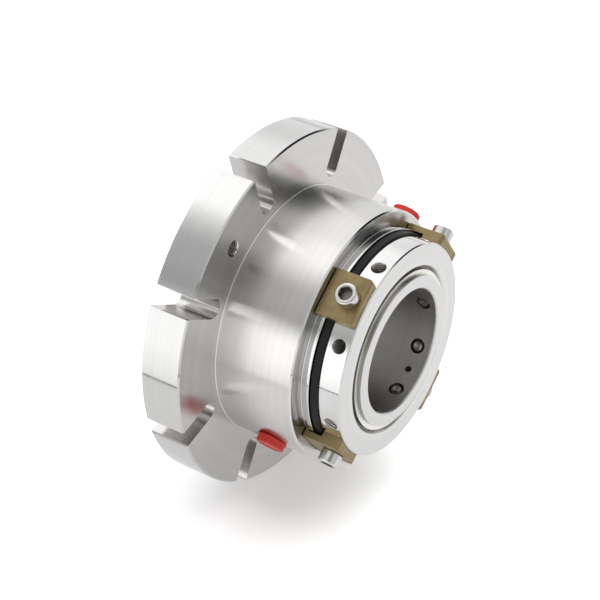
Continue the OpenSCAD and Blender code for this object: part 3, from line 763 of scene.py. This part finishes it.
def make_end_ring():
    """Ring in the gland's outer end, with the polished rim that the clips hook behind."""
    end_ring = turned("gland_end_ring_polished", rounded([
        (RING_BORE_R, RIM_END, 0.2), (RING_BORE_R, RING_STEP_X, 0),
        (SEAL_BORE_R, RING_STEP_X, 0), (SEAL_BORE_R, RING_BACK_X, EDGE),
        (CHAMBER_R - FIT, RING_BACK_X, EDGE), (CHAMBER_R - FIT, RIM_X, 0),
        (RIM_R, RIM_X, EDGE), (RIM_R, RIM_END, 0.3)]))
    finish_all(smooth(end_ring), polished)
    return fit(end_ring, "gland_body", "polished_steel", "gland_end_ring")


make_gland()
make_end_ring()


# Rotor

def make_excluder():
    """Rubber ring between the end ring and the collar."""
    excluder = turned("excluder_ring_rubber", rounded([
        (HUB_R + FIT, EXCLUDER_X, FINE_EDGE), (EXCLUDER_R, EXCLUDER_X, EXCLUDER_FILLET),
        (EXCLUDER_R, COLLAR_X, EXCLUDER_FILLET), (HUB_R + FIT, COLLAR_X, FINE_EDGE)]))
    finish_all(smooth(excluder), rubber)
    return fit(excluder, "rotor", "black_rubber", "excluder_ring")


def radial_cutters(name, count, start, x, maker):
    """Cutters made upright over the origin, laid evenly round the shaft at a place along it."""
    cutters = [place(maker(), round_shaft(start + k * 360 / count) @ along_shaft(x)) for k in range(count)]
    return joined(name, cutters)


def collar_region(centre, normal):
    """0 polished outside, 1 threads in painted shade, 2 bore and recess floor in painted shade, 3 sloped
    wall of the recess.
    """
    x, r, _ = about_shaft(centre, normal)
    if r < SLEEVE_R + NEAR or abs(x - RECESS_X) < 0.05 and r < RECESS_R:
        return 2
    if r < RECESS_R and RECESS_X < x < COLLAR_END - 0.1:
        return 3
    inside = SLEEVE_R + NEAR < r < COLLAR_R - MOUTH_DEPTH and COLLAR_X + NEAR <= x <= COLLAR_END - 3 * NEAR
    return 1 if inside and abs(x - GRUB_X) < TAPPED_R + 1 and abs(normal.x) < 0.999 else 0


def make_collar():
    """Drive collar: tapped holes for the grub screws, plain ones for the clips, a recess in its face."""
    bore = SLEEVE_R + SLIDE_GAP
    collar = turned("drive_collar_polished", rounded([
        (bore, EXCLUDER_X + RUN_GAP, FINE_EDGE), (HUB_R, EXCLUDER_X + RUN_GAP, FINE_EDGE),
        (HUB_R, COLLAR_X, 0), (COLLAR_R, COLLAR_X, 0.2),
        (COLLAR_R, COLLAR_END - COLLAR_CHAMFER, 0.12), (COLLAR_R - COLLAR_CHAMFER, COLLAR_END, 0.12),
        (RECESS_R, COLLAR_END, 0.08), (RECESS_FLOOR_R, RECESS_X, 0), (bore, RECESS_X, FINE_EDGE)]), 320)
    cut(collar, radial_cutters("threads", GRUBS, ROTOR_TURN, GRUB_X, lambda: tapped(
        "thread", TAPPED_R, SLEEVE_R - CUT, COLLAR_R + CUT, TAPPED_DEPTH)))
    cut(collar, radial_cutters("mouths", GRUBS, ROTOR_TURN, GRUB_X, lambda: cone(
        "mouth", TAPPED_R, TAPPED_R + MOUTH_FLARE, COLLAR_R - MOUTH_DEPTH, COLLAR_R + CONE_CUT, 40)))
    cut(collar, radial_cutters("screw holes", CLIPS, CLIP_TURN, CLIP_SCREW_X, lambda: cone(
        "hole", CLIP_HOLE_R, CLIP_HOLE_R, COLLAR_R - CLIP_HOLE_DEPTH, COLLAR_R + CUT)))
    soften(collar, 0.10, angle=45)
    finish_by_region(collar, [polished, shaded_thread_steel, shade_painted_steel, ring_steel], collar_region)
    return fit(collar, "rotor", "polished_steel", "drive_collar")


def sleeve_region(centre, normal):
    """0 polished end and outside, 1 bore, 2 holes in painted shade, 3 the wall that stands out of the
    collar.
    """
    x, r, outward = about_shaft(centre, normal)
    if r < SHAFT_R + NEAR and outward < -0.5:
        return 1
    under_collar = SHAFT_R + NEAR < r < SLEEVE_R - NEAR and COLLAR_X < x < COLLAR_END - 2 * NEAR
    if under_collar and abs(outward) < 0.6:
        return 2
    if COLLAR_END - 0.1 < x < SLEEVE_END and outward > 0.9:
        return 3
    return 0


def make_sleeve():
    """Shaft sleeve from its head in the pump to the end that stands out of the collar."""
    groove_x = COLLAR_END - SNAP_T - SLIDE_GAP
    ring_low, ring_high = O_RING_X - O_RING_W / 2, O_RING_X + O_RING_W / 2
    sleeve = turned("shaft_sleeve_turned", rounded([
        (SHAFT_R + 0.6, SLEEVE_START, FINE_EDGE), (HEAD_R, SLEEVE_START, 0.8), (HEAD_R, HEAD_X, 0.2),
        (POCKET_R, HEAD_X, FINE_EDGE), (POCKET_R, POCKET_X, 0), (SLEEVE_R, POCKET_X, 0),
        (SLEEVE_R, groove_x, 0), (SLEEVE_R - SNAP_GROOVE, groove_x, 0),
        (SLEEVE_R - SNAP_GROOVE, COLLAR_END, 0), (SLEEVE_R, COLLAR_END, 0.05),
        (SLEEVE_R, SLEEVE_END, 0.4), (SHAFT_R + 0.5, SLEEVE_END, 0.12), (SHAFT_R, SLEEVE_END - 0.5, 0.12),
        (SHAFT_R, ring_high, FINE_EDGE), (SHAFT_R + O_RING_D, ring_high, FINE_EDGE),
        (SHAFT_R + O_RING_D, ring_low, FINE_EDGE), (SHAFT_R, ring_low, FINE_EDGE),
        (SHAFT_R, SLEEVE_START + 0.6, FINE_EDGE)]), 320)
    cut(sleeve, radial_cutters("grub holes", GRUBS, ROTOR_TURN, GRUB_X, lambda: cone(
        "hole", GRUB_HOLE_R, GRUB_HOLE_R, SHAFT_R - CUT, SLEEVE_R + CUT)))
    cut(sleeve, radial_cutters("pin hole", 1, PIN_HOLE_TURN, GRUB_X, lambda: cone(
        "hole", PIN_HOLE_R, PIN_HOLE_R, SHAFT_R - CUT, SLEEVE_R + CUT, 32)))
    soften(sleeve, 0.12, angle=45)
    finish_by_region(sleeve, [polished, bored, shaded_thread_steel, dull_steel], sleeve_region)
    return fit(sleeve, "rotor", "turned_steel", "shaft_sleeve")


def make_snap_ring():
    """Open ring of round-edged strip, with its gap and square-cut ends."""
    inner, outer = SLEEVE_R - SNAP_GROOVE + SLIDE_GAP, SLEEVE_R + SNAP_W
    high = COLLAR_END - SLIDE_GAP / 2
    low = high - SNAP_T
    corners = ((inner, low), (outer, low), (outer, high), (inner, high))
    profile = rounded([(r, x, FINE_EDGE) for r, x in corners], 3)
    steps = 240
    start = ROTOR_TURN + SNAP_TURN + SNAP_GAP / 2
    bm = bmesh.new()
    skin(bm, [section(bm, profile, math.radians(start + (360 - SNAP_GAP) * k / steps))
              for k in range(steps + 1)])
    ring = soften(finish_bmesh("snap_ring_strip", bm), 0.08, angle=60)

    # The outer wall of the strip gets the dark steel: painted shade in the gap round the ring
    def outer_wall(centre, normal):
        _, r, _ = about_shaft(centre, normal)
        return 1 if r > outer - 0.12 and abs(normal.x) < 0.85 else 0

    finish_by_region(ring, [ring_steel, shade_painted_steel], outer_wall)
    return fit(ring, "rotor", "polished_steel", "snap_ring")


def make_grub_screws(tree):
    """One threaded grub screw with socket and cup point, copied round the collar."""
    r = GRUB_D / 2
    segments, per_turn = 32, 4
    length = GRUB_TOP - GRUB_TIP - GRUB_BARE_TIP - GRUB_BARE_TOP
    rows = int(length / PITCH * per_turn)
    bm = bmesh.new()
    cup = ((0.3, 0.75), (r - 1.35, 0.05), (r - 1.0, 0))
    loops = [level_loop(bm, [cup_r] * segments, GRUB_TIP + rise) for cup_r, rise in cup]
    for i in range(rows + 1):
        h = GRUB_TIP + GRUB_BARE_TIP + length * i / rows
        loops.append(level_loop(bm, [r - GRUB_THREAD_DEPTH * thread_wave(h, k, segments)
                                     for k in range(segments)], h))
    loops.append(level_loop(bm, [r - 0.6] * segments, GRUB_TOP))
    skin(bm, loops)
    screw = finish_bmesh("grub_screws_socket", bm)
    cut(screw, hexagon(GRUB_KEY, GRUB_TOP - GRUB_KEY_DEPTH, GRUB_TOP + CUT))
    smooth(place(screw, along_shaft(GRUB_X)), 50)
    run_tree(screw, tree, Count=GRUBS, Start_angle=math.radians(ROTOR_TURN), Finish=grub_steel)
    return fit(screw, "rotor", "grub_steel", "grub_screws")


make_excluder()
make_collar()
make_sleeve()
make_snap_ring()
make_grub_screws(copies_tree())


# Clips and their screws

def make_clip(number):
    """The CAD clip with its edges broken by a file."""
    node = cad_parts[f"setting_clip_{number}"]
    bm = bmesh.new()
    bm.from_mesh(node.data)
    bmesh.ops.remove_doubles(bm, verts=bm.verts, dist=0.002 * MM)
    bmesh.ops.dissolve_limit(bm, angle_limit=math.radians(1.0), verts=bm.verts, edges=bm.edges)
    clip = mesh_object(f"setting_clip_{number}_brass", bm)
    soften(clip, 0.22, angle=30)
    finish_all(clip, brass)
    return fit(clip, f"clip_{number}", "clip_brass", f"setting_clip_{number}")


def make_clip_screw(number):
    """Socket cap screw, upright over the origin and then turned to its place."""
    low = CLIP_TOP + TOUCH
    top = low + HEAD_H
    r = HEAD_D / 2
    tip = COLLAR_R - STEM_DEPTH
    profile = [(0, tip), (STEM_TIP_R, tip), (STEM_R, tip + STEM_POINT), (STEM_R, low - 2 * TOUCH),
               (r - HEAD_EDGE, low), (r, low + HEAD_EDGE)]
    steps = 6
    for k in range(steps + 1):
        t = math.pi / 2 * k / steps
        profile.append((r - HEAD_CROWN * (1 - math.cos(t)), top - HEAD_CROWN * (1 - math.sin(t))))
    screw = upright(f"clip_screw_{number}_cap", profile + [(0, top)], 64)
    cut(screw, hexagon(HEAD_KEY, top - HEAD_KEY_DEPTH, top + CUT))
    mouth = top - HEAD_MOUTH_DEPTH
    cut(screw, cone("mouth", HEAD_MOUTH_R, HEAD_MOUTH_R + HEAD_MOUTH_RISE, mouth, mouth + HEAD_MOUTH_RISE))
    soften(screw, 0.07, angle=45)

    # The socket walls get the dark steel: painted shade inside the socket
    def socket_wall(centre, normal):
        inside = math.hypot(centre.x, centre.y) < (HEAD_KEY / math.sqrt(3) + 0.1) * MM
        return 1 if inside and top - HEAD_KEY_DEPTH - 0.1 < centre.z / MM < top - 0.04 else 0

    finish_by_region(screw, [screw_steel, shade_painted_steel], socket_wall)
    place(screw, round_shaft(CLIP_TURN + (number - 1) * 360 / CLIPS) @ along_shaft(CLIP_SCREW_X))
    return fit(screw, f"clip_{number}", "screw_steel", f"clip_screw_{number}")


for number in range(1, CLIPS + 1):
    make_clip(number)
    make_clip_screw(number)


# Port plugs

def make_plug(side, x, degrees):
    """Fluted plastic cap on a thin flange, with a plain stem in the port."""
    seat = BODY_R + FIT
    base = seat + CAP_FLANGE_T
    top = base + CAP_H
    r = CAP_D / 2
    per_flute = 12
    waves = [0.5 - 0.5 * math.cos(2 * math.pi * k / per_flute) for k in range(FLUTES * per_flute)]
    # height, radius and depth of the flutes
    outline = (
        (seat - PLUG_STEM, PLUG_TIP_R, 0), (seat - PLUG_STEM + 0.5, PLUG_STEM_R, 0), (seat, PLUG_STEM_R, 0),
        (seat, r - EDGE, 0), (seat + EDGE, r, 0), (base - EDGE, r, 0), (base, r - EDGE, 0),
        (base + 0.04, r - 0.3, 0.05), (base + 0.25, r - 0.3, FLUTE_DEPTH),
        (top - 0.6, r - 0.35, FLUTE_DEPTH), (top - 0.25, r - 0.45, 0.3), (top - 0.04, r - 0.75, 0.06),
        (top, r - 1.1, 0), (top, r - 1.7, 0), (top - 0.3, r - 2.0, 0), (top - 0.3, 1.0, 0))
    bm = bmesh.new()
    skin(bm, [level_loop(bm, [radius - flute * (1 - wave) ** 2 for wave in waves], h)
              for h, radius, flute in outline])
    plug = finish_bmesh(f"port_plug_{side}_fluted", bm)
    place(plug, round_shaft(degrees) @ along_shaft(x))
    finish_all(smooth(plug, 40), red_plastic)
    return fit(plug, f"plug_{side}", "red_plastic", f"port_plug_{side}")


make_plug("upper", UPPER_PORT_X, PORT_TURN)
make_plug("lower", LOWER_PORT_X, PORT_TURN + 180)


# Springs behind the faces

def make_springs(tree, side, start, length, pitch_r):
    """Coils between face and gland."""
    holder = mesh_object(f"{side}_springs_coiled", bmesh.new())
    run_tree(holder, tree, Turns=SPRING_TURNS, Coil_radius=COIL_R * MM, Wire_radius=WIRE_R * MM,
             Length=(length - 2 * WIRE_R) * MM, Start=(start + WIRE_R) * MM, Pitch_radius=pitch_r * MM,
             Count=SPRINGS, Start_angle=math.radians(FIRST_SPRING), Finish=spring_steel)
    holder.data.shade_smooth()
    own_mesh(holder)
    return fit(holder, "gland_body", "spring_steel", f"{side}_springs")


springs = springs_tree()
make_springs(springs, "inboard", *INBOARD_SPRINGS)
make_springs(springs, "outboard", *OUTBOARD_SPRINGS)


# Finishes of the CAD nodes that stay

for side in ("inboard", "outboard"):
    for part, material in (("stationary_face", carbon), ("seat_o_ring", rubber), ("rotary_o_ring", rubber),
                           ("anti_rotation_pins", pin_steel), ("drive_pins", pin_steel),
                           ("rotary_face", silicon_carbide)):
        finish_all(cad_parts[f"{side}_{part}"], material)
for node, material in (("gland_gasket", gasket_fibre), ("sleeve_o_ring", rubber),
                       ("pumping_ring", turned_body), ("pumping_ring_screws", grub_steel)):
    finish_all(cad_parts[node], material)


# Studio, in metres

FLOOR_Z, FLOOR_HALF = -0.073, 4.0
CARD_Y, CARD_LEFT, CARD_RIGHT, CARD_TOP = -0.187, -0.6, 0.3, 0.13
CARD_GAP, EDGE_BEHIND, EDGE_GLOW = 0.004, 0.0005, 0.15
# Glow of the side card at its foot and above it, and the share that its top and its outboard end keep
CARD_FOOT, CARD_MIDDLE, CARD_TOP_SHARE, CARD_END_SHARE = 1.30, 1.66, 0.34, 0.66
FOOT_HEIGHT, TOP_FADE, END_FADE = 0.075, (0.045, 0.118), (0.02, 0.14)

# Grey of the table for the camera, for plain light and for reflections, and the painted glow that it adds
# to reflections, which lightens its shadow there
SEEN_GREY, PLAIN_GREY, MIRRORED_GREY, MIRRORED_GLOW = 1.84, 0.90, 0.74, 0.41

# Parts of the room: azimuth and elevation in degrees, inner and outer angle, brightness left
ROOM_PARTS = (
    (-122, 31, 14, 40, 0.45),   # behind the side card
    (-48, 44, 10, 28, 0.34),    # above the camera
    (0, 40, 35, 80, 0.64),      # the whole outboard side
    (60, 22, 11, 28, 0.03),     # a doorway there
    (172, 62, 5, 18, 1.22),     # the ceiling light
)
MIRRORED_LEVEL = 1.78
# Level below the overhead light, and how steep a direction is where that light begins and is full
LOW_LEVEL, OVERHEAD = 0.76, (0.35, 0.62)

LAMP_SIZE, LAMP_POWER, LAMP_AWAY, LAMP_TOWARDS = 1.5, 9.0, 1.3, (0.25, 0.18, 0.95)
CAMERA_AT, CAMERA_LENS = (0.3318, -0.4628, 0.3894), 104.28
CAMERA_RIGHT, CAMERA_BACK = (0.8305, 0.5571, 0.0), (0.4588, -0.6839, 0.5673)


def empty_tree(owner):
    """Node tree of a material or world with nothing in it."""
    owner.use_nodes = True
    owner.node_tree.nodes.clear()
    return owner.node_tree


def shader_node(tree, kind, **values):
    n = tree.nodes.new(kind)
    shader_input(n, **values)
    return n


def switch(tree, factor, first, second):
    """The first shader where the factor is 0, the second where it is 1."""
    n = tree.nodes.new("ShaderNodeMixShader")
    for i, source in enumerate((factor, first, second)):
        tree.links.new(source, n.inputs[i])
    return n.outputs[0]


def stage_plane(name, corners, material):
    bm = bmesh.new()
    bm.faces.new([bm.verts.new(c) for c in corners])
    plane = mesh_object(name, bm)
    finish_all(plane, material)
    return plane


def make_floor():
    """Pale table. The camera sees it white with a soft shadow on it; in the steel it has a painted glow,
    which makes its shadow weaker there.
    """
    material = bpy.data.materials.new("table")
    tree = empty_tree(material)
    seen, plain, dimmed = (
        shader_node(tree, "ShaderNodeBsdfDiffuse", Color=(grey, grey, grey, 1)).outputs[0]
        for grey in (SEEN_GREY, PLAIN_GREY, MIRRORED_GREY))
    glow = shader_node(tree, "ShaderNodeEmission", Strength=MIRRORED_GLOW)
    mirrored = tree.nodes.new("ShaderNodeAddShader")
    tree.links.new(dimmed, mirrored.inputs[0])
    link(tree, glow, 0, mirrored, 1)
    path = tree.nodes.new("ShaderNodeLightPath").outputs
    unseen = switch(tree, path["Is Glossy Ray"], plain, mirrored.outputs[0])
    out = tree.nodes.new("ShaderNodeOutputMaterial")
    tree.links.new(switch(tree, path["Is Camera Ray"], unseen, seen), out.inputs["Surface"])
    half = FLOOR_HALF
    stage_plane("floor", [(-half, -half, FLOOR_Z), (half, -half, FLOOR_Z),
                          (half, half, FLOOR_Z), (-half, half, FLOOR_Z)], material)


def glowing(name, **values):
    """Material that only glows, with its tree and its emission node."""
    material = bpy.data.materials.new(name)
    tree = empty_tree(material)
    glow = shader_node(tree, "ShaderNodeEmission", **values)
    link(tree, glow, 0, tree.nodes.new("ShaderNodeOutputMaterial"), "Surface")
    return material, tree, glow


def mirrored_card(name, y, low, high, material):
    """Upright card that only reflections show."""
    card = stage_plane(name, [(CARD_LEFT, y, low), (CARD_RIGHT, y, low),
                              (CARD_RIGHT, y, high), (CARD_LEFT, y, high)], material)
    card.visible_camera = False
    card.visible_diffuse = False
    card.visible_shadow = False
    card.visible_transmission = False
    card.visible_volume_scatter = False


def make_side_card():
    """White card along the table's edge, which the polished steel reflects, over a thin dark gap."""
    white, tree, glow = glowing("card")
    axes = split_axes(tree, position(tree))
    upward = ramp_between(tree, axes["Z"], FLOOR_Z, FLOOR_Z + FOOT_HEIGHT, CARD_FOOT, CARD_MIDDLE)
    top = ramp_between(tree, axes["Z"], *TOP_FADE, 1.0, CARD_TOP_SHARE, "SMOOTHSTEP")
    sideways = ramp_between(tree, axes["X"], *END_FADE, 1.0, CARD_END_SHARE)
    level = maths(tree, "MULTIPLY", maths(tree, "MULTIPLY", upward, top), sideways)
    tree.links.new(level, glow.inputs["Strength"])
    mirrored_card("side_card", CARD_Y, FLOOR_Z + CARD_GAP, CARD_TOP, white)
    dark, _, _ = glowing("table edge", Strength=EDGE_GLOW)
    mirrored_card("table_edge", CARD_Y - EDGE_BEHIND, FLOOR_Z - 0.001, FLOOR_Z + CARD_GAP, dark)


def room_part(tree, direction, azimuth, elevation, inner, outer, level):
    """Factor for a part of the room: the level within the inner angle, 1 beyond the outer one."""
    az, el = math.radians(azimuth), math.radians(elevation)
    dot = tree.nodes.new("ShaderNodeVectorMath")
    dot.operation = "DOT_PRODUCT"
    tree.links.new(direction, dot.inputs[0])
    dot.inputs[1].default_value = (math.cos(el) * math.cos(az), math.cos(el) * math.sin(az), math.sin(el))
    far, near = math.cos(math.radians(outer)), math.cos(math.radians(inner))
    return ramp_between(tree, dot.outputs["Value"], far, near, 1.0, level, "SMOOTHSTEP")


def make_world():
    """Bright light from overhead and pale surroundings, with the parts of the room in them."""
    world = bpy.data.worlds.new("studio")
    bpy.context.scene.world = world
    tree = empty_tree(world)
    light = tree.nodes.new("ShaderNodeBackground")
    white = shader_node(tree, "ShaderNodeBackground", Strength=1.0, Color=(1, 1, 1, 1))
    direction = tree.nodes.new("ShaderNodeTexCoord").outputs["Generated"]
    level = ramp_between(tree, split_axes(tree, direction)["Z"], *OVERHEAD, LOW_LEVEL, 1.0)
    for part in ROOM_PARTS:
        level = maths(tree, "MULTIPLY", level, room_part(tree, direction, *part))
    path = tree.nodes.new("ShaderNodeLightPath").outputs
    gain = ramp_between(tree, path["Is Glossy Ray"], 0, 1, 1.0, MIRRORED_LEVEL)
    tree.links.new(maths(tree, "MULTIPLY", level, gain), light.inputs["Strength"])
    out = tree.nodes.new("ShaderNodeOutputWorld")
    tree.links.new(switch(tree, path["Is Camera Ray"], light.outputs[0], white.outputs[0]),
                   out.inputs["Surface"])


def make_lamp():
    """Wide lamp overhead, which gives the table its soft shadow and isn't seen in the steel."""
    light = bpy.data.lights.new("lamp", "AREA")
    light.shape = "DISK"
    light.size = LAMP_SIZE
    light.energy = LAMP_POWER
    lamp = bpy.data.objects.new("lamp", light)
    bpy.context.scene.collection.objects.link(lamp)
    towards = Vector(LAMP_TOWARDS).normalized()
    aim = towards.to_track_quat("Z", "Y").to_matrix().to_4x4()
    lamp.matrix_world = Matrix.Translation(towards * LAMP_AWAY) @ aim
    lamp.visible_glossy = False


def make_camera():
    """Camera that stands where the photograph was taken from."""
    camera = bpy.data.objects.new("camera", bpy.data.cameras.new("camera"))
    bpy.context.scene.collection.objects.link(camera)
    camera.data.sensor_width = 36.0
    camera.data.lens = CAMERA_LENS
    camera.data.clip_start = 0.01
    right = Vector(CAMERA_RIGHT).normalized()
    up = Vector(CAMERA_BACK).cross(right).normalized()
    turn = Matrix((right, up, right.cross(up))).transposed().to_4x4()
    camera.matrix_world = Matrix.Translation(CAMERA_AT) @ turn
    bpy.context.scene.camera = camera


make_floor()
make_side_card()
make_world()
make_lamp()
make_camera()
bpy.context.scene.view_settings.view_transform = "Standard"
